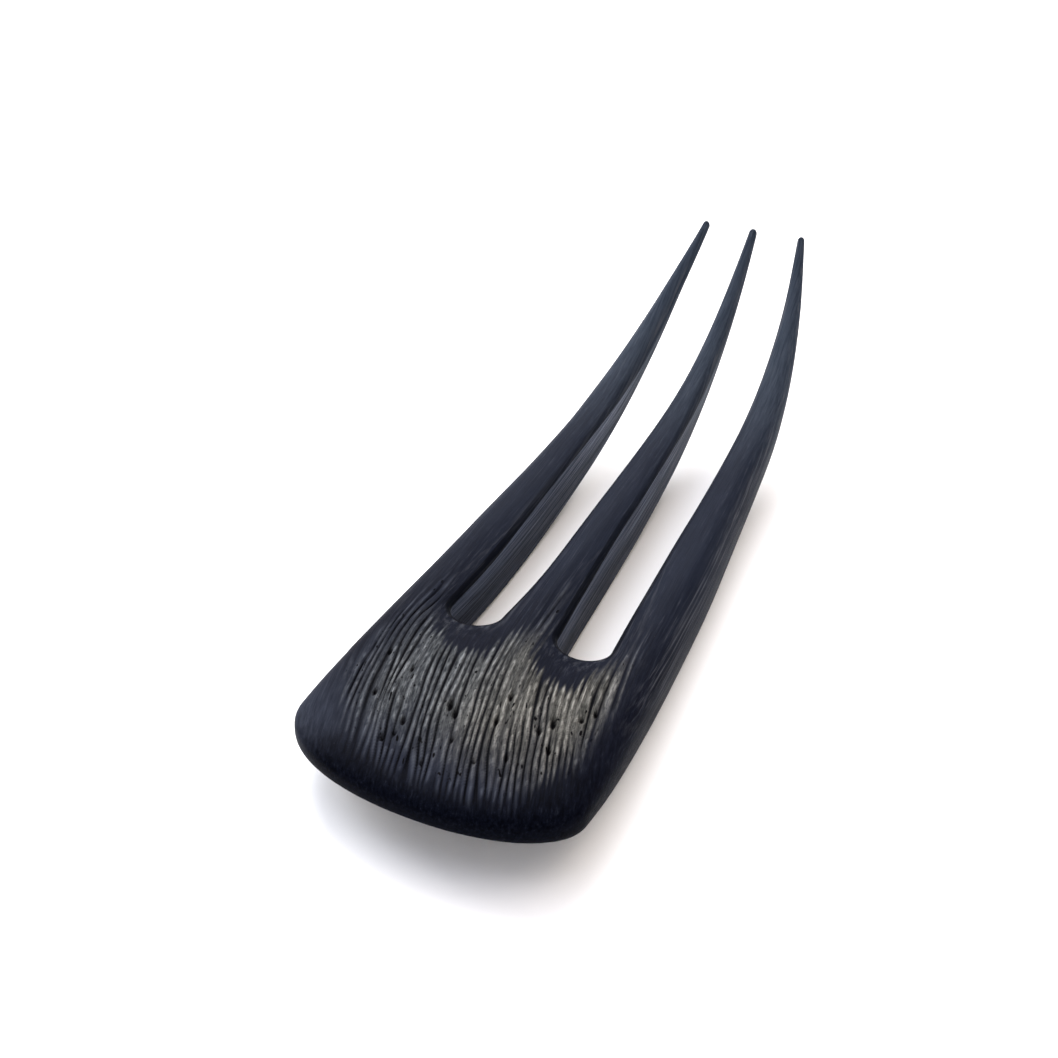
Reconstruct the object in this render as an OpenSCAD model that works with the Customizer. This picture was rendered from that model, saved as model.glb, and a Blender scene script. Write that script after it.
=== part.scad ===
// Three-prong hair fork carved from one piece of dark wood.
// The plan is drawn flat, along the centre line, then bent to its curve.
// The near end of the head lies at -Y, the tips at +Y, the worn-out side faces +Z.
// All sizes in millimetres.

/* [Size] */
// Length along the curved centre line, from the near end to the tips
fork_len = 150; // [130:1:170]
// Greatest width of the head
head_w = 39.2; // [35:0.2:43]
// Greatest thickness, just beyond the roots of the prongs
body_t = 10.6; // [7.5:0.1:11.5]
// How strongly the fork is bent, 1 as carved
bend = 1; // [0.7:0.05:1.1]

/* [Slots] */
// Distance from the near end to where the slot walls run straight
slot_start = 35.5; // [33:0.5:41]
// Depth of the round root of each slot
root_depth = 3.4; // [2.4:0.1:4]

/* [Edges] */
// Length of the rounded near end, over which the corners turn
end_len = 9.5; // [7:0.5:13]
// Fullness of the corners, 2 is an ellipse
end_full = 2.1; // [2:0.1:3]
// Width of the upper round-over on the outer edges
edge_w = 4; // [2.5:0.25:4.5]
// Width of the lower round-over on the outer edges
edge_back_w = 1.5; // [1:0.25:3.5]
// Fullness of both round-overs, 2 is an ellipse
edge_full = 2.5; // [2:0.1:3]
// Radius of the crisp upper edge along the slots
slot_top_r = 0.7; // [0.4:0.1:1]
// Radius of the lower edge along the slots
slot_back_r = 1.2; // [0.6:0.1:1.5]

/* [Scoop] */
// Width of the hollowed band beside each slot
scoop_w = 4; // [3:0.2:5]
// Length of that band behind each slot root
scoop_back = 7; // [4:0.5:8]
// Depth of the band at the slot edge
scoop_d = 1.2; // [0.4:0.1:1.8]
// Rise of the head across its width, middle over edge
crown_h = 0.5; // [0:0.1:1]
// Depth of the slight flat on the back, on which the fork rests
rest_flat = 0.14; // [0.04:0.02:0.3]

/* [Detail] */
// Sections along each prong
prong_steps = 22; // [14:1:26]
// Ribs over the half width of the head
head_ribs = 20; // [12:2:24]

/* [Hidden] */
wood = [0.11, 0.11, 0.12];

// One row per section of the fork:
// at = place along the centre line, tilt = slope of the centre line in degrees,
// outer = half width over all, slot = inner edge of an outer prong,
// middle = half width of the middle prong, thick = thickness
//            at   tilt  outer  slot  middle thick
SECTIONS = [ [  0,  -6.4, 18.1, 12.4,  5.7,  3.4],
             [ 15,  -5.0, 19.4, 12.1,  5.2,  6.7],
             [ 30,  -3.1, 19.6, 11.8,  4.6,  9.0],
             [ 45,  -1.0, 19.4, 11.35, 3.6, 10.2],
             [ 60,   1.3, 19.1, 11.4,  3.1, 10.6],
             [ 75,   4.0, 18.5, 11.55, 2.9,  9.9],
             [ 90,   7.4, 18.0, 11.55, 2.65, 8.6],
             [105,  15.5, 17.5, 11.35, 2.4,  6.8],
             [120,  27.3, 16.0, 10.95, 2.05, 4.8],
             [135,  39.8, 13.5, 10.25, 1.5,  3.1],
             [150,  49.9, 10.1,  8.8,  0.75, 1.9] ];
TILT = 1; OUTER = 2; SLOT = 3; MIDDLE = 4; THICK = 5;

n_sec = len(SECTIONS) - 1;
tab_len = SECTIONS[n_sec][0];
k_len = fork_len / tab_len;
k_wide = head_w / 39.2;
k_thick = body_t / 10.6;
spine_at = 22;          // where the cross ridge of the head lies
corner_ribs = 6;        // ribs around each corner of the near end
side_ribs = 3;          // ribs from the corner to the cross ridge
root_ribs = 4;          // ribs from the cross ridge to the slot walls
tip_ribs = 4;           // ribs over a quarter of a tip
face_rings = 10;        // rings from the rim to the ridge, upper side
back_rings = 6;         // the same, lower side
edge_rings = 4;         // of these, rings that form the rounded edge

// ---- smooth curve through the rows of the table ----
function sec_gap(i) = SECTIONS[i + 1][0] - SECTIONS[i][0];
function sec_rise(c, i) = (SECTIONS[i + 1][c] - SECTIONS[i][c]) / sec_gap(i);
function sec_slope(c, i) = i == 0 ? sec_rise(c, 0) : i == n_sec ? sec_rise(c, n_sec - 1)
    : (sec_rise(c, i - 1) * sec_gap(i) + sec_rise(c, i) * sec_gap(i - 1)) / (sec_gap(i - 1) + sec_gap(i));
function sec_row(s, i = 0) = (i >= n_sec - 1 || s < SECTIONS[i + 1][0]) ? i : sec_row(s, i + 1);
function blend4(a, b, ma, mb, u) = (2*u*u*u - 3*u*u + 1) * a + (u*u*u - 2*u*u + u) * ma
    + (3*u*u - 2*u*u*u) * b + (u*u*u - u*u) * mb;
function sec(c, s) = let(q = min(max(s / k_len, 0), tab_len), i = sec_row(q), h = sec_gap(i), u = (q - SECTIONS[i][0]) / h)
    blend4(SECTIONS[i][c], SECTIONS[i + 1][c], h * sec_slope(c, i), h * sec_slope(c, i + 1), u);
function tilt(s) = bend * sec(TILT, s);
function outer(s) = k_wide * sec(OUTER, s);
function slot(s) = k_wide * sec(SLOT, s);
function middle(s) = k_wide * sec(MIDDLE, s);
function thick(s) = k_thick * sec(THICK, s);
function prong_c(s) = (outer(s) + slot(s)) / 2;
function ease(a, b, x) = let(u = min(max((x - a) / (b - a), 0), 1)) u * u * (3 - 2 * u);

// ---- the centre line, summed in short steps ----
line_n = 300;
line_d = fork_len / line_n;
LINE = [for (i = 0, y = 0, z = 0; i <= line_n;
             y = y + line_d * cos(tilt((i + 0.5) * line_d)), z = z + line_d * sin(tilt((i + 0.5) * line_d)), i = i + 1) [y, z]];
function line_at(s) = let(q = min(max(s / line_d, 0), line_n - 0.0001), i = floor(q), u = q - i) LINE[i] * (1 - u) + LINE[i + 1] * u;
// a flat point [across, along, height over the centre line] laid on the curve
function bent(p) = let(c = line_at(p[1]), a = tilt(p[1])) [p[0], c[0] - p[2] * sin(a), c[1] + p[2] * cos(a)];

// ---- rim of the right half, from the middle of the near end to the middle tip ----
// each row: [across, along, ridge point it leads to, 1 on a slot wall and 0 on an outer edge]
prong_x = prong_c(spine_at);
tip_r = (outer(fork_len) - slot(fork_len)) / 2;
mid_r = middle(fork_len);
root_x = (slot(slot_start) + middle(slot_start)) / 2;
root_w = (slot(slot_start) - middle(slot_start)) / 2;
tip_at = fork_len - tip_r;
mid_at = fork_len - mid_r;
id_side = head_ribs;
id_prong = id_side + root_ribs;
id_root = id_prong + prong_steps;
id_mid = id_root + root_ribs;
n_half = id_mid + prong_steps + 1;

function end_pt(a) = let(u = pow(sin(a), 2 / end_full), s = end_len * (1 - u)) [pow(cos(a), 2 / end_full) * outer(s), s];
// angle at which the near end reaches a given width, by halving
function end_angle(x, lo = 0, hi = 90, n = 30) = n == 0 ? (lo + hi) / 2
    : let(m = (lo + hi) / 2) end_pt(m)[0] > x ? end_angle(x, m, hi, n - 1) : end_angle(x, lo, m, n - 1);
function step_at(k) = slot_start + (tip_at - slot_start) * k / prong_steps;
function mstep_at(k) = slot_start + (mid_at - slot_start) * k / prong_steps;
function side_at(i) = spine_at + (slot_start - spine_at) * i / root_ribs;
function wall(s) = 1 - ease(fork_len - 60, fork_len - 15, s);
function rim(p, id, w) = [p[0], p[1], id, w];
root_ids = concat([for (i = [root_ribs : -1 : 1]) id_side + i], [for (i = [head_ribs : -1 : 0]) i], [for (i = [1 : root_ribs]) id_root + i]);
corner_a = end_angle(prong_x);
RIM_HALF = concat(
    [for (i = [0 : head_ribs]) rim(i == 0 ? [0, 0] : end_pt(end_angle(prong_x * i / head_ribs)), i, 0)],
    [for (i = [1 : corner_ribs]) rim(end_pt(corner_a * (1 - i / corner_ribs)), head_ribs, 0)],
    [for (i = [1 : side_ribs]) let(s = end_len + (spine_at - end_len) * i / side_ribs) rim([outer(s), s], head_ribs, 0)],
    [for (i = [1 : root_ribs]) rim([outer(side_at(i)), side_at(i)], id_side + i, 0)],
    [for (k = [1 : prong_steps]) rim([outer(step_at(k)), step_at(k)], id_prong + k, 0)],
    [for (i = [1 : 2 * tip_ribs - 1]) let(a = 90 * i / tip_ribs) rim([prong_c(tip_at) + tip_r * cos(a), tip_at + tip_r * sin(a)], id_prong + prong_steps, 0)],
    [for (k = [prong_steps : -1 : 1]) rim([slot(step_at(k)), step_at(k)], id_prong + k, wall(step_at(k)))],
    [for (i = [0 : len(root_ids) - 1]) let(a = 180 * i / (len(root_ids) - 1)) rim([root_x + root_w * cos(a), slot_start - root_depth * sin(a)], root_ids[i], 1)],
    [for (k = [1 : prong_steps]) rim([middle(mstep_at(k)), mstep_at(k)], id_mid + k, wall(mstep_at(k)))],
    [for (i = [1 : tip_ribs]) let(a = 90 * i / tip_ribs) rim([mid_r * cos(a), mid_at + mid_r * sin(a)], id_mid + prong_steps, 0)]);

// ridge points of the right half, then those mirrored to the left
RIDGE_HALF = concat(
    [for (i = [0 : head_ribs]) [prong_x * i / head_ribs, spine_at]],
    [for (i = [1 : root_ribs]) [prong_c(side_at(i)), side_at(i)]],
    [for (k = [1 : prong_steps]) [prong_c(step_at(k)), step_at(k)]],
    [for (i = [1 : root_ribs]) [0, side_at(i)]],
    [for (k = [1 : prong_steps]) [0, mstep_at(k)]]);
RIDGE = concat(RIDGE_HALF, [for (i = [1 : id_root]) [-RIDGE_HALF[i][0], RIDGE_HALF[i][1]]]);
function twin(i) = (i == 0 || i > id_root) ? i : n_half + i - 1;
RIM = concat(RIM_HALF, [for (i = [len(RIM_HALF) - 2 : -1 : 1]) let(r = RIM_HALF[i]) [-r[0], r[1], twin(r[2]), r[3]]]);
n_rim = len(RIM);
n_ridge = len(RIDGE);
function rim_xy(i) = let(r = RIM[(i + n_rim) % n_rim]) [r[0], r[1]];
INWARD = [for (i = [0 : n_rim - 1]) let(t = rim_xy(i + 1) - rim_xy(i - 1)) [-t[1], t[0]] / norm(t)];
REACH = [for (i = [0 : n_rim - 1]) norm(RIDGE[RIM[i][2]] - rim_xy(i))];

// ---- heights of the two faces over the centre line ----
// 0 at the slot edge, 1 at the outer edge of the hollowed band
function band(x, s) = s >= slot_start
    ? (abs(abs(x) - (slot(s) + middle(s)) / 2) - (slot(s) - middle(s)) / 2) / scoop_w
    : let(dx = abs(x) - root_x, ds = s - slot_start, in = norm([dx / root_w, ds / root_depth]),
          out = norm([dx / (root_w + scoop_w), ds / (root_depth + scoop_back)])) out * (in - 1) / max(in - out, 0.001);
function scoop(x, s) = scoop_d * (1 - ease(slot_start, slot_start + 35, s)) * pow(1 - min(max(band(x, s), 0), 1), 1.4);
function head_crown(x, s) = crown_h * pow(x / outer(s), 2);
function prong_crown(x, s) = let(ax = abs(x), mid = ax < (slot(s) + middle(s)) / 2,
    half = mid ? middle(s) : (outer(s) - slot(s)) / 2,
    u = min(1, abs(mid ? ax : ax - prong_c(s)) / half)) 0.2 * half * u * u;
function face(x, s) = let(k = ease(slot_start - 2, slot_start + 18, s))
    thick(s) / 2 - (1 - k) * head_crown(x, s) - k * prong_crown(x, s) - scoop(x, s);
function back(x, s) = -thick(s) / 2;
function height(up, x, s) = up > 0 ? face(x, s) : back(x, s);

// ---- one ring of points at step j in from the rim ----
function outer_in(up, j, i) = min(up > 0 ? edge_w : edge_back_w, 0.92 * REACH[i]) * (j == edge_rings ? 1 : 1 - pow(cos(90 * j / edge_rings), 2 / edge_full));
function outer_drop(j) = j == edge_rings ? 0 : 1 - pow(sin(90 * j / edge_rings), 2 / edge_full);
function wall_r(up, i) = min(up > 0 ? slot_top_r : slot_back_r, 0.45 * REACH[i], 0.225 * thick(RIM[i][1]));
function wall_a(j) = 90 * (j - 1) / (edge_rings - 1);
function edge_xy(up, j, i) = let(w = RIM[i][3], d = w * wall_r(up, i) * (1 - cos(wall_a(j))) + (1 - w) * outer_in(up, j, i))
    rim_xy(i) + d * INWARD[i];
function edge_pt(up, j, i) = let(w = RIM[i][3], p = edge_xy(up, j, i), h = height(up, p[0], p[1]))
    [p[0], p[1], w * (h - up * wall_r(up, i) * (1 - sin(wall_a(j)))) + (1 - w) * h * (1 - outer_drop(j))];
function inner_pt(up, rings, j, i) = let(a = edge_xy(up, edge_rings, i), u = (j - edge_rings) / (rings - edge_rings),
    p = a + (RIDGE[RIM[i][2]] - a) * u) [p[0], p[1], height(up, p[0], p[1])];
function ring(up, rings, j) = [for (i = [0 : n_rim - 1]) j <= edge_rings ? edge_pt(up, j, i) : inner_pt(up, rings, j, i)];
function side_pts(up, rings) = concat([for (j = [1 : rings - 1]) each ring(up, rings, j)],
    [for (p = RIDGE) [p[0], p[1], height(up, p[0], p[1])]]);

FLAT = concat([for (i = [0 : n_rim - 1]) [RIM[i][0], RIM[i][1], 0]], side_pts(1, face_rings), side_pts(-1, back_rings));
CURVED = [for (p = FLAT) bent(p)];
low_z = min([for (p = CURVED) p[2]]) + rest_flat;
BENT = [for (p = CURVED) [p[0], p[1], max(p[2], low_z)]];
min_y = min([for (p = BENT) p[1]]);
max_y = max([for (p = BENT) p[1]]);

// ---- faces: strips between rings, the last strip closes on the ridge ----
function tri(a, b, c) = (a == b || b == c || a == c) ? [] : [[a, b, c]];
function strip(base, rings, j, i, up) = let(i2 = (i + 1) % n_rim,
    a = j == 0 ? i : base + (j - 1) * n_rim + i, b = j == 0 ? i2 : base + (j - 1) * n_rim + i2,
    d = j == rings - 1 ? base + j * n_rim + RIM[i][2] : base + j * n_rim + i,
    c = j == rings - 1 ? base + j * n_rim + RIM[i2][2] : base + j * n_rim + i2)
    up > 0 ? concat(tri(c, b, a), tri(d, c, a)) : concat(tri(a, b, c), tri(a, c, d));
function side_faces(base, rings, up) = [for (j = [0 : rings - 1]) for (i = [0 : n_rim - 1]) each strip(base, rings, j, i, up)];
FACES = concat(side_faces(n_rim, face_rings, 1),
    side_faces(n_rim + (face_rings - 1) * n_rim + n_ridge, back_rings, -1));

module fork() {
    color(wood)
        translate([0, -(min_y + max_y) / 2, -low_z])
            polyhedron(points = BENT, faces = FACES, convexity = 8);
}

fork();
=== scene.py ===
import math

import bpy
import numpy as np
from mathutils import Matrix, Vector


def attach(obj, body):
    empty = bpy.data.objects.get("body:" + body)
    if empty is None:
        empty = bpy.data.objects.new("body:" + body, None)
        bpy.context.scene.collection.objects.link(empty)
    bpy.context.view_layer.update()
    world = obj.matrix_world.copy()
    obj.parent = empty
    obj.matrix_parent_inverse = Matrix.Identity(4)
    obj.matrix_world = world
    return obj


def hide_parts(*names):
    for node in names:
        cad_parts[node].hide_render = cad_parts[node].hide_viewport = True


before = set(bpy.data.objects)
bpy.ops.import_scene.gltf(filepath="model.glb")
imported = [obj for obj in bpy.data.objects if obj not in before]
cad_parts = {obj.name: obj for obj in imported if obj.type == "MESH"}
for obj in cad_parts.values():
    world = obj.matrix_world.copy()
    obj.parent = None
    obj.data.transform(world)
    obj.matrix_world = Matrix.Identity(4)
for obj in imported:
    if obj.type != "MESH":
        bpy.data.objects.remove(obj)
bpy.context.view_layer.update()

# ---------------------------------------------------------------- sizes, in mm
# One row per section: place along the centre line, slope of the centre line in degrees,
# half width over all, inner edge of an outer prong, half width of the middle prong, thickness.
SECTIONS = np.array([
    (0, -6.4, 18.1, 12.4, 5.7, 3.4),
    (15, -5.0, 19.4, 12.1, 5.2, 6.7),
    (30, -3.1, 19.6, 11.8, 4.6, 9.0),
    (45, -1.0, 19.4, 11.35, 3.6, 10.2),
    (60, 1.3, 19.1, 11.4, 3.1, 10.6),
    (75, 4.0, 18.5, 11.55, 2.9, 9.9),
    (90, 7.4, 18.0, 11.55, 2.65, 8.6),
    (105, 15.5, 17.5, 11.35, 2.4, 6.8),
    (120, 27.3, 16.0, 10.95, 2.05, 4.8),
    (135, 39.8, 13.5, 10.25, 1.5, 3.1),
    (150, 49.9, 10.1, 8.8, 0.75, 1.9),
])
TILT, OUTER, SLOT, MIDDLE, THICK = 1, 2, 3, 4, 5
LENGTH = 150.0
SLOT_START = 35.5
ROOT_DEPTH = 3.4
END_LEN = 9.5
END_FULL = 2.1
EDGE_W = 4.0
EDGE_BACK_W = 1.5
EDGE_FULL = 2.5
SLOT_TOP_R = 0.7
SLOT_BACK_R = 1.2
SCOOP_W = 4.0
SCOOP_BACK = 7.0
SCOOP_D = 1.2
CROWN = 0.5
SPINE_AT = 22.0
MID_Y = 142.002 / 2          # the frame's origin, from the near end of the centre line
LOW_Z = -8.29358             # the flat it rests on, under the start of the centre line

# density of the mesh
RIBS = 140                   # over half the near end
CORNER_RIBS, SIDE_RIBS, ROOT_RIBS, PRONG_STEPS, TIP_RIBS = 64, 20, 12, 60, 10
EDGE_RINGS, EDGE_RINGS_BACK = 24, 10
FACE_RINGS, BACK_RINGS = 64, 14

# edge of the rough plateau on the head, in (across, along)
PLATEAU = np.array([
    (-11.8, 9.0), (-10.0, 6.0), (-7.4, 3.8), (0.0, 2.6), (7.6, 3.2), (11.0, 5.0), (13.2, 8.8),
    (15.0, 13.0), (16.2, 18.0), (16.6, 23.5), (16.0, 31.0), (15.2, 41.0),
    (14.2, 36.0), (12.9, 31.5), (11.8, 28.3), (10.9, 25.8), (9.7, 24.4), (8.4, 24.1), (6.8, 24.9), (5.6, 26.0),
    (4.2, 27.3), (3.1, 28.8), (2.7, 33.0), (2.5, 39.0), (1.8, 46.0),
    (1.0, 41.0), (0.5, 33.5), (-1.2, 29.5), (-2.6, 26.2), (-4.0, 25.2), (-5.6, 25.0), (-7.1, 25.2), (-9.0, 26.4),
    (-10.6, 28.6), (-12.2, 32.0), (-13.4, 35.5), (-14.5, 40.0),
    (-15.6, 32.0), (-16.8, 24.0), (-16.9, 17.0), (-15.4, 12.0)])
# open pores on the plateau: across, along, length, width
PORES = np.array([
    (-1.7, 15.4, 1.9, 0.85), (-0.5, 14.3, 1.5, 0.7), (-5.4, 10.5, 1.2, 0.6), (-6.3, 7.1, 1.2, 0.6), (-5.3, 8.3, 0.9, 0.5),
    (4.4, 15.4, 1.6, 0.7), (9.6, 16.2, 1.1, 0.6), (10.6, 18.1, 1.7, 0.75), (11.8, 13.9, 1.4, 0.7), (16.0, 24.8, 1.4, 0.6),
    (5.0, 8.3, 0.9, 0.5), (4.2, 19.9, 1.3, 0.6), (-0.2, 5.4, 0.9, 0.45), (13.4, 20.2, 1.0, 0.55), (14.5, 22.0, 1.2, 0.5),
    (-11.0, 13.5, 1.1, 0.5), (-9.0, 19.2, 1.2, 0.45), (8.0, 10.5, 1.0, 0.5), (1.2, 10.2, 0.9, 0.45), (-13.2, 21.0, 1.1, 0.4)])


def sec(col, s):
    """A column of SECTIONS as a smooth curve."""
    x, y = SECTIONS[:, 0], SECTIONS[:, col]
    h = np.diff(x)
    d = np.diff(y) / h
    m = np.concatenate([[d[0]], (d[:-1] * h[1:] + d[1:] * h[:-1]) / (h[1:] + h[:-1]), [d[-1]]])
    s = np.clip(np.asarray(s, float), 0, LENGTH)
    i = np.clip(np.searchsorted(x, s, side="right") - 1, 0, len(x) - 2)
    u = (s - x[i]) / h[i]
    return ((2 * u**3 - 3 * u**2 + 1) * y[i] + (u**3 - 2 * u**2 + u) * h[i] * m[i]
            + (3 * u**2 - 2 * u**3) * y[i + 1] + (u**3 - u**2) * h[i] * m[i + 1])


def ease(a, b, x):
    u = np.clip((np.asarray(x, float) - a) / (b - a), 0, 1)
    return u * u * (3 - 2 * u)


_q = np.linspace(0, LENGTH, 3001)
_a = np.radians(sec(TILT, (_q[1:] + _q[:-1]) / 2))
_step = _q[1] - _q[0]
_ly = np.concatenate([[0], np.cumsum(np.cos(_a) * _step)])
_lz = np.concatenate([[0], np.cumsum(np.sin(_a) * _step)])


def bent(p):
    """Flat points (across, along, height) laid on the curve, in the row frame, in mm."""
    a = np.radians(sec(TILT, p[:, 1]))
    y, z = np.interp(p[:, 1], _q, _ly), np.interp(p[:, 1], _q, _lz)
    return np.stack([p[:, 0], y - p[:, 2] * np.sin(a) - MID_Y, z + p[:, 2] * np.cos(a) - LOW_Z], -1)


# ---------------------------------------------------------------- noise
class Noise:
    def __init__(self, seed, n=128):
        self.t = np.random.RandomState(seed).rand(n, n) * 2 - 1
        self.n = n

    def __call__(self, u, v):
        iu, iv = np.floor(u).astype(int), np.floor(v).astype(int)
        fu, fv = u - iu, v - iv
        fu, fv = fu * fu * fu * (fu * (fu * 6 - 15) + 10), fv * fv * fv * (fv * (fv * 6 - 15) + 10)
        a, b, c, d = iu % self.n, (iu + 1) % self.n, iv % self.n, (iv + 1) % self.n
        t = self.t
        return ((t[a, c] * (1 - fu) + t[b, c] * fu) * (1 - fv) + (t[a, d] * (1 - fu) + t[b, d] * fu) * fv)


n_bend, n_bend2, n_amp, n_amp2, n_fine, n_fine2, n_edge, n_tone, n_wall, n_big = [Noise(40 + i) for i in range(10)]


def plateau_distance(x, s):
    """Signed distance in mm to the edge of the plateau, above 0 inside."""
    pts, best, inside = PLATEAU, np.full(x.shape, 1e9), np.zeros(x.shape, bool)
    for i in range(len(pts)):
        (ax, ay), (bx, by) = pts[i], pts[(i + 1) % len(pts)]
        dx, dy = bx - ax, by - ay
        t = np.clip(((x - ax) * dx + (s - ay) * dy) / (dx * dx + dy * dy), 0, 1)
        best = np.minimum(best, np.hypot(x - ax - t * dx, s - ay - t * dy))
        cross = (ay > s) != (by > s)
        with np.errstate(divide="ignore", invalid="ignore"):
            at = ax + (s - ay) / (dy if dy else 1e-9) * dx
        inside ^= cross & (x < at)
    return np.where(inside, best, -best)


# how far the grain leans, as across per along, at places along the fork
LEAN = np.array([(0, 0.35), (8, 0.33), (15, 0.26), (22, 0.17), (28, 0.09), (36, 0.03), (60, 0.0), (150, 0.0)])
_lean = np.cumsum(np.interp(_q, LEAN[:, 0], LEAN[:, 1])) * _step
_lean -= np.interp(20, _q, _lean)


def grain_at(x, s):
    """Across-grain coordinate: the grain leans at the near end and straightens out, in slow waves."""
    return x + np.interp(s, _q, _lean) + 0.5 * n_bend(x / 9 + 7, s / 22) + 0.14 * n_bend2(x / 2.6, s / 9)


def fields(x, s):
    """Plateau mask, ridge height 0..1 and pore depth 0..1 at flat points."""
    g = grain_at(x, s)
    # single ridges run out past the edge like fingers, except where the edge follows the grain
    fingers = ease(17.5, 15.0, np.abs(x)) * ease(1.0, 4.0, s)
    ph = g / 0.86 + 0.55 * n_bend(g / 1.7 + 31, s / 13 + 5) + 0.05 * n_bend2(g / 0.7, s / 5)
    wave = 0.5 + 0.5 * np.cos(2 * np.pi * ph)
    d = (plateau_distance(x, s) + fingers * (0.7 * n_edge(g / 0.8, s / 30) + 0.5 - 1.1 * wave)
         + 0.25 * n_fine2(x / 1.2, s / 2.5))
    soft = (1.2 + 1.2 * ease(-6, -14, x) * ease(30, 12, s) + 1.6 * ease(9, 3, s) + 0.9 * ease(12, 16, x) * ease(26, 14, s))
    mask = ease(-0.55 * soft, 0.85 * soft, d)
    depth = np.clip(0.80 + 0.7 * n_amp(g / 0.95, s / 10), 0.15, 1)
    ph2 = g / 0.45 + 0.5 * n_bend2(g / 1.1 + 11, s / 9 + 3)
    groove2 = (0.5 + 0.5 * np.cos(2 * np.pi * ph2)) ** 1.6 * np.clip(0.35 + 0.7 * n_amp2(g / 0.8, s / 7), 0, 1)
    ridge = 1 - np.clip(wave ** 3 * depth + 0.32 * groove2, 0, 1)
    ridge = np.clip(ridge + 0.10 * n_fine(g / 0.22, s / 1.5), 0, 1.1)
    # a narrow raised crest on the left of each ridge; the same value paints a highlight line along it
    crest_and_highlight = (0.5 - 0.5 * np.cos(2 * np.pi * (ph - 0.06))) ** 3
    crest_and_highlight = crest_and_highlight * np.clip(0.50 + 1.0 * n_wall(g / 0.9, s / 4) + 0.9 * n_tone(g / 0.35, s / 0.9), 0, 1)
    pore = np.zeros(x.shape)
    gp = grain_at(PORES[:, 0], PORES[:, 1])
    for (px, ps, ln, wd), g0 in zip(PORES, gp):
        near = np.abs(s - ps) < ln
        q = np.hypot((g[near] - g0) / (wd * 0.62), (s[near] - ps) / (ln * 0.60))
        pore[near] = np.maximum(pore[near], ease(1.15, 0.45, q))
    return mask, ridge, crest_and_highlight, pore, g


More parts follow.
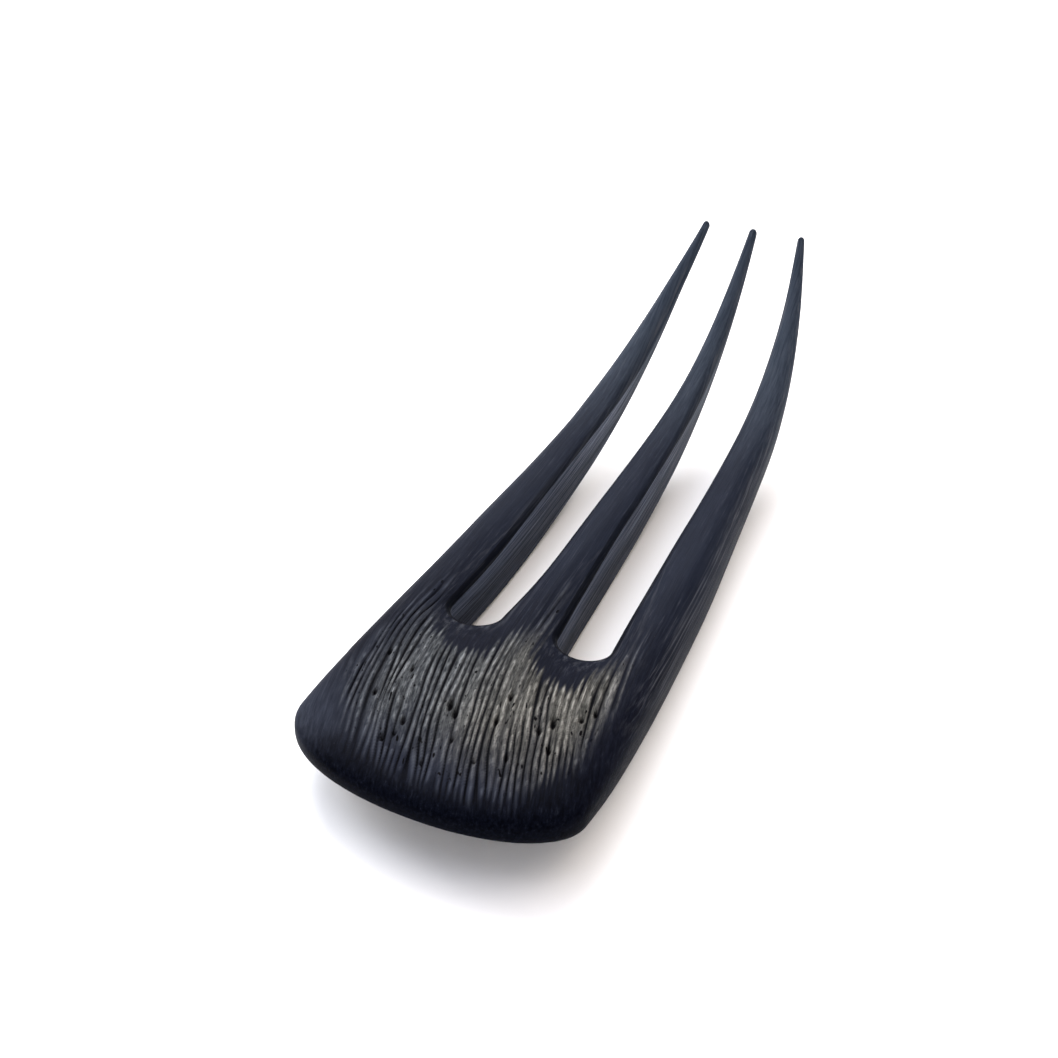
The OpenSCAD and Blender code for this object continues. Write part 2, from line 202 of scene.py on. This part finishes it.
# ---------------------------------------------------------------- outline
def outline():
    """Rim points (across, along), the ridge point each leads to, and 1 on a slot wall, 0 on an outer edge."""
    def centre(s):
        return float((sec(OUTER, s) + sec(SLOT, s)) / 2)

    x1 = centre(SPINE_AT)
    tip_r, mid_r = float((sec(OUTER, LENGTH) - sec(SLOT, LENGTH)) / 2), float(sec(MIDDLE, LENGTH))
    tip_at, mid_at = LENGTH - tip_r, LENGTH - mid_r
    root_x = float((sec(SLOT, SLOT_START) + sec(MIDDLE, SLOT_START)) / 2)
    root_w = float((sec(SLOT, SLOT_START) - sec(MIDDLE, SLOT_START)) / 2)

    def end_pt(a):
        s = END_LEN * (1 - abs(math.sin(a)) ** (2 / END_FULL))
        return abs(math.cos(a)) ** (2 / END_FULL) * float(sec(OUTER, s)), s

    table_a = np.linspace(math.pi / 2, 0, 2000)
    table_x = np.array([end_pt(a)[0] for a in table_a])
    skel, key = [], {}

    def k(name, x, s):
        if name not in key:
            key[name] = len(skel)
            skel.append((x, s))
        return key[name]

    for i in range(RIBS + 1):
        k(("spine", i), x1 * i / RIBS, SPINE_AT)
    side = [SPINE_AT + (SLOT_START - SPINE_AT) * i / ROOT_RIBS for i in range(ROOT_RIBS + 1)]
    st = np.linspace(SLOT_START, tip_at, PRONG_STEPS + 1)
    stm = np.linspace(SLOT_START, mid_at, PRONG_STEPS + 1)
    for i in range(1, ROOT_RIBS + 1):
        k(("side", i), centre(side[i]), side[i])
    for i in range(1, PRONG_STEPS + 1):
        k(("prong", i), centre(st[i]), float(st[i]))
    for i in range(1, ROOT_RIBS + 1):
        k(("mid", i), 0.0, side[i])
    for i in range(1, PRONG_STEPS + 1):
        k(("midp", i), 0.0, float(stm[i]))

    def wall(s):
        return float(1 - ease(LENGTH - 60, LENGTH - 15, s))

    rows = []
    for i in range(RIBS + 1):
        rows.append((*end_pt(np.interp(x1 * i / RIBS, table_x, table_a)), key["spine", i], 0.0))
    a0 = np.interp(x1, table_x, table_a)
    for i in range(1, CORNER_RIBS + 1):
        rows.append((*end_pt(a0 * (1 - i / CORNER_RIBS)), key["spine", RIBS], 0.0))
    for i in range(1, SIDE_RIBS + 1):
        s = END_LEN + (SPINE_AT - END_LEN) * i / SIDE_RIBS
        rows.append((float(sec(OUTER, s)), s, key["spine", RIBS], 0.0))
    for i in range(1, ROOT_RIBS + 1):
        rows.append((float(sec(OUTER, side[i])), side[i], key["side", i], 0.0))
    for i in range(1, PRONG_STEPS + 1):
        rows.append((float(sec(OUTER, st[i])), float(st[i]), key["prong", i], 0.0))
    for i in range(1, 2 * TIP_RIBS):
        a = math.pi / 2 * i / TIP_RIBS
        rows.append((centre(tip_at) + tip_r * math.cos(a), tip_at + tip_r * math.sin(a), key["prong", PRONG_STEPS], 0.0))
    for i in range(PRONG_STEPS, 0, -1):
        rows.append((float(sec(SLOT, st[i])), float(st[i]), key["prong", i], wall(st[i])))
    names = ([("side", i) for i in range(ROOT_RIBS, 0, -1)] + [("spine", i) for i in range(RIBS, -1, -1)]
             + [("mid", i) for i in range(1, ROOT_RIBS + 1)])
    for i, nm in enumerate(names):
        a = math.pi * i / (len(names) - 1)
        rows.append((root_x + root_w * math.cos(a), SLOT_START - ROOT_DEPTH * math.sin(a), key[nm], 1.0))
    for i in range(1, PRONG_STEPS + 1):
        rows.append((float(sec(MIDDLE, stm[i])), float(stm[i]), key["midp", i], wall(stm[i])))
    for i in range(1, TIP_RIBS + 1):
        a = math.pi / 2 * i / TIP_RIBS
        rows.append((mid_r * math.cos(a), mid_at + mid_r * math.sin(a), key["midp", PRONG_STEPS], 0.0))
    rows = np.array(rows)
    skel = np.array(skel)
    twin = np.arange(len(skel))
    off = np.where(skel[:, 0] > 1e-9)[0]
    twin[off] = len(skel) + np.arange(len(off))
    skel2 = np.vstack([skel, np.column_stack([-skel[off, 0], skel[off, 1]])])
    left = rows[1:-1][::-1].copy()
    left[:, 0] *= -1
    rim = np.vstack([rows[:, :2], left[:, :2]])
    ids = np.concatenate([rows[:, 2].astype(int), twin[left[:, 2].astype(int)]])
    on_wall = np.concatenate([rows[:, 3], left[:, 3]])
    return rim, ids, on_wall, skel2, root_x, root_w


RIM, IDS, WALL, SKEL, ROOT_X, ROOT_W = outline()
_t = np.roll(RIM, -1, 0) - np.roll(RIM, 1, 0)
INWARD = np.stack([-_t[:, 1], _t[:, 0]], -1) / np.linalg.norm(_t, axis=1)[:, None]
REACH = np.linalg.norm(SKEL[IDS] - RIM, axis=1)


def band(x, s):
    """0 at the slot edge, 1 at the outer edge of the hollowed band."""
    ax = np.abs(x)
    beside = (np.abs(ax - (sec(SLOT, s) + sec(MIDDLE, s)) / 2) - (sec(SLOT, s) - sec(MIDDLE, s)) / 2) / SCOOP_W
    dx, ds = ax - ROOT_X, s - SLOT_START
    inn = np.hypot(dx / ROOT_W, ds / ROOT_DEPTH)
    out = np.hypot(dx / (ROOT_W + SCOOP_W), ds / (ROOT_DEPTH + SCOOP_BACK))
    return np.where(s >= SLOT_START, beside, out * (inn - 1) / np.maximum(inn - out, 1e-3))


def face(x, s):
    k = ease(SLOT_START - 2, SLOT_START + 18, s)
    ax = np.abs(x)
    mid = ax < (sec(SLOT, s) + sec(MIDDLE, s)) / 2
    half = np.where(mid, sec(MIDDLE, s), (sec(OUTER, s) - sec(SLOT, s)) / 2)
    u = np.minimum(1, np.abs(np.where(mid, ax, ax - (sec(OUTER, s) + sec(SLOT, s)) / 2)) / half)
    head_shade = SCOOP_D * (1 - ease(SLOT_START, SLOT_START + 35, s)) * (1 - np.clip(band(x, s), 0, 1)) ** 1.4
    return (sec(THICK, s) / 2 - (1 - k) * CROWN * (x / sec(OUTER, s)) ** 2 - k * 0.2 * half * u * u - head_shade)


def back(x, s):
    return -sec(THICK, s) / 2


def rings(up):
    """Flat points of each ring inward from the rim, the last one being the ridge points."""
    n_rings, n_edge_rings = (FACE_RINGS, EDGE_RINGS) if up > 0 else (BACK_RINGS, EDGE_RINGS_BACK)
    height = face if up > 0 else back
    width = np.minimum(EDGE_W if up > 0 else EDGE_BACK_W, 0.92 * REACH)
    r = np.minimum(np.minimum(SLOT_TOP_R if up > 0 else SLOT_BACK_R, 0.45 * REACH), 0.225 * sec(THICK, RIM[:, 1]))
    out = []
    for j in range(1, n_rings):
        if j <= n_edge_rings:
            last = j == n_edge_rings
            reach = (j / n_edge_rings) ** 2
            d_out = width * reach
            drop = 0 if last else 1 - math.sin(math.acos((1 - reach) ** (EDGE_FULL / 2))) ** (2 / EDGE_FULL)
            b = math.pi / 2 * (j - 1) / (n_edge_rings - 1)
            d = WALL * r * (1 - math.cos(b)) + (1 - WALL) * d_out
            p = RIM + INWARD * d[:, None]
            h = height(p[:, 0], p[:, 1])
            z = WALL * (h - up * r * (1 - math.sin(b))) + (1 - WALL) * h * (1 - drop)
            at_edge = p
        else:
            u = (j - n_edge_rings) / (n_rings - n_edge_rings)
            p = at_edge + (SKEL[IDS] - at_edge) * u
            z = height(p[:, 0], p[:, 1])
        out.append(np.column_stack([p, z]))
    out.append(np.column_stack([SKEL, height(SKEL[:, 0], SKEL[:, 1])]))
    return out


def build_fork():
    n = len(RIM)
    parts = [np.column_stack([RIM, np.zeros(n)])]
    quads, tris, count, upper = [], [], n, [np.zeros(n)]
    on_wall, arris = [WALL.copy()], [np.zeros(n)]
    i = np.arange(n)
    i2 = (i + 1) % n
    for up in (1, -1):
        prev = i
        layers = rings(up)
        for j, layer in enumerate(layers):
            last = j == len(layers) - 1
            cur = count + (IDS if last else i)
            a, b, c, d = prev[i], prev[i2], cur[i2], cur[i]
            same = c == d
            q = np.stack([a, b, c, d], -1)[~same]
            t = np.stack([a, b, c], -1)[same]
            quads.append(q if up > 0 else q[:, ::-1])
            tris.append(t if up > 0 else t[:, ::-1])
            parts.append(layer)
            upper.append(np.full(len(layer), up))
            ring = j + 1
            flank = not last and ring <= 3
            on_wall.append(WALL * (1.0 if ring <= 2 else 0.5) if flank else np.zeros(len(layer)))
            on_arc = not last and up > 0 and 3 <= ring <= EDGE_RINGS
            arris.append(WALL * (1.0 if ring > 3 else 0.5) if on_arc else np.zeros(len(layer)))
            count += len(layer)
            prev = cur
    flat = np.vstack(parts)
    upper, on_wall, arris = np.concatenate(upper), np.concatenate(on_wall), np.concatenate(arris)
    mask, ridge, crest_and_highlight, pore, g = fields(flat[:, 0], flat[:, 1])
    on_top = ease(0.0, 1.2, flat[:, 2]) * (upper > 0)
    mask = mask * on_top
    x, s = flat[:, 0], flat[:, 1]
    # raised grain and pores on the plateau, and a faint grain elsewhere
    relief = mask * (0.30 * (ridge - 1) + 0.10 * crest_and_highlight + 0.03 - 0.5 * pore)
    faint = (1 - mask) * 0.012 * n_amp2(g / 0.8 + 50, s / 16)
    flat[:, 2] += np.where(upper > 0, relief + faint, np.where(upper < 0, -faint, 0))
    pos = bent(flat)
    pos[:, 2] = np.maximum(pos[:, 2], 0)
    quads, tris = np.vstack(quads), np.vstack(tris)
    mesh = bpy.data.meshes.new("hair_fork")
    loops = np.concatenate([quads.ravel(), tris.ravel()]).astype(np.int32)
    mesh.vertices.add(len(pos))
    mesh.vertices.foreach_set("co", (pos / 1000).astype(np.float32).ravel())
    mesh.loops.add(len(loops))
    mesh.loops.foreach_set("vertex_index", loops)
    n_poly = len(quads) + len(tris)
    mesh.polygons.add(n_poly)
    start = np.concatenate([np.arange(len(quads)) * 4, len(quads) * 4 + np.arange(len(tris)) * 3]).astype(np.int32)
    total = np.concatenate([np.full(len(quads), 4), np.full(len(tris), 3)]).astype(np.int32)
    mesh.polygons.foreach_set("loop_start", start)
    mesh.polygons.foreach_set("loop_total", total)
    mesh.polygons.foreach_set("use_smooth", np.ones(n_poly, bool))
    mesh.update(calc_edges=True)
    mesh.validate()

    def store(name, values):
        att = mesh.attributes.new(name, "FLOAT", "POINT")
        att.data.foreach_set("value", values.astype(np.float32))

    store("rough_mask", mask)
    store("ridge", ridge)
    store("crest_and_highlight", crest_and_highlight)
    store("pore", pore * mask)
    store("across", x)
    store("rise", flat[:, 2] / (sec(THICK, s) / 2))
    store("slot_wall", on_wall)
    store("arris", arris)
    att = mesh.attributes.new("grain", "FLOAT_VECTOR", "POINT")
    att.data.foreach_set("vector", np.stack([g, s, flat[:, 2]], -1).astype(np.float32).ravel())
    ob = bpy.data.objects.new("fork_wood", mesh)
    bpy.context.scene.collection.objects.link(ob)
    return ob


# ---------------------------------------------------------------- material helpers
class Nodes:
    def __init__(self, name):
        self.mat = bpy.data.materials.new(name)
        self.mat.use_nodes = True
        self.t = self.mat.node_tree
        self.t.nodes.clear()

    def n(self, kind, **settings):
        node = self.t.nodes.new(kind)
        for k, v in settings.items():
            setattr(node, k, v)
        return node

    def link(self, a, b):
        self.t.links.new(a, b)

    def put(self, socket, v):
        if isinstance(v, bpy.types.NodeSocket):
            self.link(v, socket)
        else:
            socket.default_value = v

    def math(self, op, a, b=0.0, clamp=False):
        m = self.n("ShaderNodeMath", operation=op, use_clamp=clamp)
        self.put(m.inputs[0], a)
        self.put(m.inputs[1], b)
        return m.outputs[0]

    def mix(self, f, a, b):
        m = self.n("ShaderNodeMix", data_type="RGBA")
        self.put(m.inputs["Factor"], f)
        self.put(m.inputs[6], a)
        self.put(m.inputs[7], b)
        return m.outputs[2]

    def mixf(self, f, a, b):
        m = self.n("ShaderNodeMix", data_type="FLOAT")
        self.put(m.inputs["Factor"], f)
        self.put(m.inputs[2], a)
        self.put(m.inputs[3], b)
        return m.outputs[0]

    def span(self, v, a, b, c=0.0, d=1.0, smooth=True):
        m = self.n("ShaderNodeMapRange", interpolation_type="SMOOTHSTEP" if smooth else "LINEAR")
        self.put(m.inputs["Value"], v)
        for name, val in zip(("From Min", "From Max", "To Min", "To Max"), (a, b, c, d)):
            m.inputs[name].default_value = val
        return m.outputs["Result"]

    def attr(self, name):
        return self.n("ShaderNodeAttribute", attribute_type="GEOMETRY", attribute_name=name)

    def noise(self, vec, scale, detail=2.0, rough=0.5):
        m = self.n("ShaderNodeTexNoise", noise_dimensions="3D")
        self.link(vec, m.inputs["Vector"])
        m.inputs["Scale"].default_value = scale
        m.inputs["Detail"].default_value = detail
        m.inputs["Roughness"].default_value = rough
        return m.outputs["Fac"]

    def scaled(self, vec, k):
        m = self.n("ShaderNodeVectorMath", operation="MULTIPLY")
        self.link(vec, m.inputs[0])
        m.inputs[1].default_value = k
        return m.outputs[0]


def wood_material():
    m = Nodes("dark_wood")
    grain = m.attr("grain").outputs["Vector"]
    mask = m.attr("rough_mask").outputs["Fac"]
    ridge = m.attr("ridge").outputs["Fac"]
    pore = m.attr("pore").outputs["Fac"]
    crest_and_highlight = m.attr("crest_and_highlight").outputs["Fac"]
    gx = m.attr("across").outputs["Fac"]
    rise = m.attr("rise").outputs["Fac"]
    wall = m.attr("slot_wall").outputs["Fac"]
    arris = m.attr("arris").outputs["Fac"]
    # fibres: long thin noise along the grain
    fibre = m.noise(m.scaled(grain, (2.6, 0.07, 2.4)), 1.0, 4.0, 0.66)
    fine = m.noise(m.scaled(grain, (7.0, 0.30, 5.0)), 1.0, 3.0, 0.6)
    thread = m.noise(m.scaled(grain, (1.2, 0.035, 3.6)), 1.0, 3.0, 0.7)
    patch = m.noise(m.scaled(grain, (0.32, 0.10, 0.2)), 1.0, 3.0, 0.55)
    dust = m.noise(m.scaled(grain, (4.5, 1.1, 2.0)), 1.0, 4.0, 0.6)
    specks = m.noise(m.scaled(grain, (5.5, 1.2, 4.0)), 1.0, 2.0, 0.5)
    sep = m.n("ShaderNodeSeparateXYZ")
    m.link(grain, sep.inputs[0])
    gs, gn = sep.outputs[1], sep.outputs[2]

    # the smooth wood: painted shade makes it nearly black at the near end, a little less so on the left corner, and
    # darker over the head; a painted cool sheen lightens the prongs towards the tips; pale streaks along the grain
    # painted shade: near black at the near end, lighter on the left corner and over the head
    near_end_shade = m.mix(m.span(fibre, 0.3, 0.7), (0.0004, 0.0006, 0.0018, 1), (0.0024, 0.0032, 0.0068, 1))
    head_shade = m.mix(m.span(fibre, 0.3, 0.7), (0.0022, 0.0029, 0.0062, 1), (0.0056, 0.0068, 0.0122, 1))
    corner = m.mix(m.span(fibre, 0.3, 0.7), (0.0080, 0.0100, 0.0170, 1), (0.0200, 0.0235, 0.0345, 1))
    near_end_shade = m.mix(m.math("MULTIPLY", m.span(gx, -8.0, -15.0), m.span(gs, 1.0, 7.0)), near_end_shade, corner)
    near_end_shade = m.mix(m.span(gs, 5.0, 24.0), near_end_shade, head_shade)
    cold = m.mix(m.span(fibre, 0.3, 0.7), (0.0062, 0.0082, 0.0148, 1), (0.0118, 0.0146, 0.0235, 1))
    dark = m.mix(m.span(gs, 24.0, 62.0), near_end_shade, cold)
    # painted cool sheen on the prongs, lighter towards the tips
    far_sheen = m.mix(m.span(fibre, 0.3, 0.7), (0.0170, 0.0228, 0.0340, 1), (0.0330, 0.0410, 0.0560, 1))
    dark = m.mix(m.span(gs, 80.0, 125.0), dark, far_sheen)
    streak = m.math("MULTIPLY", m.span(fibre, 0.56, 0.74), m.span(fine, 0.35, 0.6, 0.3, 1.0))
    flank = m.math("MULTIPLY", m.span(rise, 0.97, 0.7), m.span(gs, 16.0, 36.0))
    dark = m.mix(m.math("MULTIPLY", streak, m.span(gs, 8.0, 40.0, 0.15, 0.6)), dark, (0.036, 0.039, 0.048, 1))
    dark = m.mix(m.math("MULTIPLY", flank, m.span(thread, 0.46, 0.70, 0.0, 0.62)), dark, (0.072, 0.075, 0.086, 1))

    # the slot walls: a painted pale sheen, lighter towards their top and towards the tips, streaked along the
    # grain, under a painted dark shade along the top edge
    # painted sheen on the slot walls, with streaks along the grain
    wall_sheen = m.mix(m.span(thread, 0.30, 0.74), (0.0150, 0.0190, 0.0310, 1), (0.1060, 0.1250, 0.1720, 1))
    wall_sheen_far = m.mix(m.span(thread, 0.34, 0.70), (0.0300, 0.0360, 0.0530, 1), (0.1950, 0.2220, 0.2850, 1))
    wall_sheen = m.mix(m.span(gs, 50.0, 95.0), wall_sheen, wall_sheen_far)
    dark = m.mix(m.math("MULTIPLY", wall, m.span(gn, -1.5, 2.0, 0.45, 1.0)), dark, wall_sheen)
    # painted dark shade along the top edge of the slot walls, fading towards the tips
    dark = m.mix(m.math("MULTIPLY", arris, m.span(gs, 40.0, 90.0, 0.75, 0.25)), dark, (0.0010, 0.0013, 0.0026, 1))

    # the grey on the plateau, partly the wood's own grey grain and partly painted sheen, is strongest behind the
    # slot roots and right of the middle
    # painted shade colour for the grooves
    groove_shade = (0.0030, 0.0034, 0.0046, 1)
    tone = m.span(m.math("ADD", m.math("MULTIPLY", fine, 0.5), m.math("MULTIPLY", dust, 0.5)), 0.36, 0.64)
    cool = m.mix(tone, (0.016, 0.018, 0.021, 1), (0.060, 0.064, 0.068, 1))
    warm = m.mix(tone, (0.022, 0.022, 0.020, 1), (0.074, 0.072, 0.066, 1))
    along = m.math("MULTIPLY", m.span(gs, 3.0, 17.0), m.span(gs, 36.0, 26.5, 0.15, 1.0))
    across = m.span(gx, -16.0, -8.5, 0.25, 1.0)
    side = m.span(gx, 17.5, 13.5, 0.15, 1.0)
    grey_grain_and_sheen = m.math("MULTIPLY", m.math("MULTIPLY", along, across), side)
    grey_grain_and_sheen = m.math("MULTIPLY", grey_grain_and_sheen, m.span(patch, 0.25, 0.65, 0.70, 1.12))
    warmth = m.span(gx, -6.0, 7.0)
    top = m.mix(warmth, cool, warm)
    # painted highlight along the lit crest of each ridge
    crest_highlight_colour = m.mix(warmth, (0.180, 0.191, 0.200, 1), (0.250, 0.243, 0.222, 1))
    top = m.mix(m.math("MULTIPLY", crest_and_highlight, m.span(tone, 0.0, 1.0, 0.25, 1.0)), top, crest_highlight_colour)
    # ridge tops lighter and grooves near black: painted shade in the grooves
    lift = m.span(ridge, 0.15, 0.85)
    lit = m.mix(lift, groove_shade, top)
    low = m.mix(lift, (0.0006, 0.0008, 0.0018, 1), (0.0105, 0.0125, 0.0205, 1))
    # painted highlight on the crests outside the grey region as well
    low = m.mix(m.math("MULTIPLY", crest_and_highlight, 0.8), low, (0.040, 0.045, 0.060, 1))
    plateau = m.mix(grey_grain_and_sheen, low, lit)
    colour = m.mix(mask, dark, plateau)
    # a few pale flecks off the plateau
    colour = m.mix(m.span(specks, 0.74, 0.80, 0.0, 0.30), colour, (0.05, 0.05, 0.06, 1))
    pits = m.noise(m.scaled(grain, (1.9, 0.75, 1.0)), 1.0, 1.0, 0.4)
    pit = m.math("MULTIPLY", m.span(pits, 0.70, 0.735), mask)
    colour = m.mix(m.math("MAXIMUM", pore, pit), colour, (0.0010, 0.0010, 0.0014, 1))

    rough_smooth = m.span(fibre, 0.25, 0.75, 0.38, 0.54)
    rough_top = m.span(dust, 0.3, 0.7, 0.55, 0.72)
    rough = m.mixf(mask, rough_smooth, rough_top)
    rough = m.mixf(pore, rough, 0.9)

    height = m.math("ADD", m.math("MULTIPLY", fibre, 0.9), m.math("MULTIPLY", fine, 0.35))
    height = m.math("ADD", height, m.math("MULTIPLY", m.math("MULTIPLY", dust, mask), 0.6))
    bump = m.n("ShaderNodeBump")
    bump.inputs["Strength"].default_value = 0.6
    bump.inputs["Distance"].default_value = 0.00012
    m.link(height, bump.inputs["Height"])

    out = m.n("ShaderNodeOutputMaterial")
    bsdf = m.n("ShaderNodeBsdfPrincipled")
    m.link(colour, bsdf.inputs["Base Color"])
    m.link(rough, bsdf.inputs["Roughness"])
    m.link(bump.outputs["Normal"], bsdf.inputs["Normal"])
    bsdf.inputs["IOR"].default_value = 1.5
    bsdf.inputs["Specular IOR Level"].default_value = 0.010
    m.link(bsdf.outputs[0], out.inputs[0])
    return m.mat


# ---------------------------------------------------------------- the fork
fork = build_fork()
fork.data.materials.append(wood_material())
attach(fork, "root")
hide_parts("fork")


# ---------------------------------------------------------------- floor
def floor_sheet():
    """A pale round sheet that lies flat and sweeps up far away on all sides."""
    n_a, radii, bend_r = 96, (0.4, 1.0, 1.6), 5.0
    rows = [(r, 0.0) for r in radii]
    rows += [(radii[-1] + bend_r * math.sin(math.radians(t)), bend_r * (1 - math.cos(math.radians(t)))) for t in range(6, 85, 6)]
    verts, faces = [(0.0, 0.0, 0.0)], []
    for r, z in rows:
        verts += [(r * math.cos(2 * math.pi * i / n_a), r * math.sin(2 * math.pi * i / n_a), z) for i in range(n_a)]
    for i in range(n_a):
        i2 = (i + 1) % n_a
        faces.append((0, 1 + i, 1 + i2))
        for j in range(len(rows) - 1):
            a, b = 1 + j * n_a, 1 + (j + 1) * n_a
            faces.append((a + i, b + i, b + i2, a + i2))
    me = bpy.data.meshes.new("floor")
    me.from_pydata(verts, [], faces)
    me.polygons.foreach_set("use_smooth", [True] * len(faces))
    me.update()
    ob = bpy.data.objects.new("floor", me)
    bpy.context.scene.collection.objects.link(ob)
    m = Nodes("pale_floor")
    out = m.n("ShaderNodeOutputMaterial")
    bsdf = m.n("ShaderNodeBsdfPrincipled")
    bsdf.inputs["Base Color"].default_value = (0.89, 0.89, 0.89, 1)
    bsdf.inputs["Roughness"].default_value = 0.85
    bsdf.inputs["Specular IOR Level"].default_value = 0.1
    m.link(bsdf.outputs[0], out.inputs[0])
    me.materials.append(m.mat)
    return ob


floor_sheet()


# ---------------------------------------------------------------- light and camera
def area(name, place, aim, size, power, colour=(1, 1, 1)):
    li = bpy.data.lights.new(name, "AREA")
    li.shape = "RECTANGLE"
    li.size, li.size_y = size
    li.energy = power
    li.color = colour
    ob = bpy.data.objects.new(name, li)
    ob.location = place
    ob.rotation_mode = "QUATERNION"
    ob.rotation_quaternion = (Vector(aim) - Vector(place)).to_track_quat("-Z", "Y")
    bpy.context.scene.collection.objects.link(ob)
    return ob


area("key", (-0.56, 0.80, 0.92), (0, 0, 0), (1.0, 1.0), 20, (1.0, 0.99, 0.98))
area("rake", (-0.95, 0.20, 0.42), (0, 0, 0), (0.45, 0.45), 9, (0.98, 0.99, 1.0))

# a soft studio dome: bright overhead and behind to the left, dim near the horizon and in front
world = bpy.data.worlds.new("studio")
bpy.context.scene.world = world
world.use_nodes = True
wt = world.node_tree
bg = wt.nodes["Background"]
coord = wt.nodes.new("ShaderNodeTexCoord")
toward = wt.nodes.new("ShaderNodeVectorMath")
toward.operation = "DOT_PRODUCT"
toward.inputs[1].default_value = Vector((-0.18, 0.52, 0.83)).normalized()
wt.links.new(coord.outputs["Generated"], toward.inputs[0])
fall = wt.nodes.new("ShaderNodeMapRange")
fall.interpolation_type = "SMOOTHSTEP"
for name, val in zip(("From Min", "From Max", "To Min", "To Max"), (0.40, 0.98, 0.44, 2.65)):
    fall.inputs[name].default_value = val
wt.links.new(toward.outputs["Value"], fall.inputs["Value"])
wt.links.new(fall.outputs["Result"], bg.inputs["Strength"])
sideways = wt.nodes.new("ShaderNodeMapRange")
for name, val in zip(("From Min", "From Max", "To Min", "To Max"), (-0.5, 0.7, 0.0, 1.0)):
    sideways.inputs[name].default_value = val
aslant = wt.nodes.new("ShaderNodeVectorMath")
aslant.operation = "DOT_PRODUCT"
aslant.inputs[1].default_value = (0.8, 0.6, 0.0)
wt.links.new(coord.outputs["Generated"], aslant.inputs[0])
wt.links.new(aslant.outputs["Value"], sideways.inputs["Value"])
tint = wt.nodes.new("ShaderNodeMix")
tint.data_type = "RGBA"
tint.inputs[6].default_value = (0.82, 0.92, 1.14, 1)
tint.inputs[7].default_value = (1.20, 1.03, 0.84, 1)
wt.links.new(sideways.outputs["Result"], tint.inputs["Factor"])
wt.links.new(tint.outputs[2], bg.inputs["Color"])

PX = 1058
FOCAL_PX = 1083.75
cam_data = bpy.data.cameras.new("camera")
cam_data.sensor_fit = "HORIZONTAL"
cam_data.sensor_width = 36.0
cam_data.lens = FOCAL_PX / PX * 36.0
cam_data.clip_start, cam_data.clip_end = 0.005, 50
cam = bpy.data.objects.new("camera", cam_data)
bpy.context.scene.collection.objects.link(cam)
bpy.context.scene.camera = cam


def aim_camera(azimuth, elevation, roll, target, distance, across, up):
    """Looks at target from azimuth and elevation, in degrees and mm, then slides in its own plane and rolls."""
    az, el, ro = map(math.radians, (azimuth, elevation, roll))
    away = Vector((math.sin(az) * math.cos(el), -math.cos(az) * math.cos(el), math.sin(el)))
    right = (-away).cross(Vector((0, 0, 1))).normalized()
    top = right.cross(-away)
    place = Vector(target) + away * distance + right * across + top * up
    r2 = right * math.cos(ro) + top * math.sin(ro)
    u2 = -right * math.sin(ro) + top * math.cos(ro)
    m = Matrix((r2, u2, away)).transposed().to_4x4()
    m.translation = place / 1000
    cam.matrix_world = m


aim_camera(22.345, 32.667, 3.144, (0, 60 - MID_Y, -LOW_Z), 165.06, -10.204, 1.216)

scene = bpy.context.scene
scene.view_settings.view_transform = "Standard"
scene.view_settings.look = "None"
scene.view_settings.exposure = 0.0
scene.view_settings.gamma = 1.0
